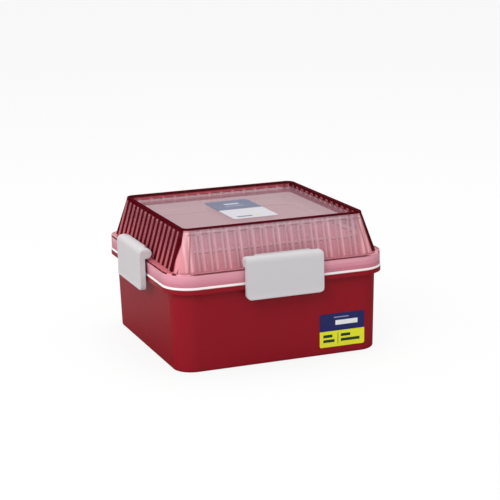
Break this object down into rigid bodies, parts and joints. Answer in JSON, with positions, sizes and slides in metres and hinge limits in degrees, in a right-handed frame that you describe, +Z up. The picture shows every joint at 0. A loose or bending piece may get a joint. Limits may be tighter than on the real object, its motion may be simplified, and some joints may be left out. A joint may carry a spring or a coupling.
{
  "type": "two-tier food storage container",
  "caption": "Square food container with a deep base, a sealed inner tray that closes it, and a see-through fluted cover held by a swinging clip on each side.",
  "frame": {"origin": "middle of the underside, on the surface that the container stands on", "axes": "+Z up; -Y is the front, with the sticker; -X is the left side as seen from the front"},
  "size_m": [0.2138, 0.2138, 0.1223],
  "materials": {
    "red_plastic": "satin moulded",
    "pink_plastic": "smooth, slightly see-through",
    "clear_red_plastic": "see-through, polished",
    "white_silicone": "soft matte",
    "grey_plastic": "fine matte",
    "front_sticker": "printed film",
    "top_sticker": "printed film"
  },
  "bodies": {
    "base": {"base_container": "red_plastic", "front_label": "front_sticker"},
    "tray": {"upper_tray": "pink_plastic", "seal_ring": "white_silicone"},
    "dome": {"cover": "clear_red_plastic", "top_label": "top_sticker"},
    "front_clip": {"clip_front": "grey_plastic"},
    "right_clip": {"clip_right": "grey_plastic"},
    "back_clip": {"clip_back": "grey_plastic"},
    "left_clip": {"clip_left": "grey_plastic"}
  },
  "joints": [
    {"name": "tray_lift", "type": "slide", "parent": "base", "child": "tray", "axis": [0, 0, 1], "range_m": [0, 0.05]},
    {"name": "cover_lift", "type": "slide", "parent": "tray", "child": "dome", "axis": [0, 0, 1], "range_m": [0, 0.05]},
    {"name": "front_clip_hinge", "type": "hinge", "parent": "dome", "child": "front_clip", "pos_m": [0, -0.1, 0.0934], "axis": [-1, 0, 0], "range_deg": [-3.2, 120]},
    {"name": "right_clip_hinge", "type": "hinge", "parent": "dome", "child": "right_clip", "pos_m": [0.1, 0, 0.0934], "axis": [0, -1, 0], "range_deg": [-3.2, 120]},
    {"name": "back_clip_hinge", "type": "hinge", "parent": "dome", "child": "back_clip", "pos_m": [0, 0.1, 0.0934], "axis": [1, 0, 0], "range_deg": [-3.2, 120]},
    {"name": "left_clip_hinge", "type": "hinge", "parent": "dome", "child": "left_clip", "pos_m": [-0.1, 0, 0.0934], "axis": [0, 1, 0], "range_deg": [-3.2, 120]}
  ]
}
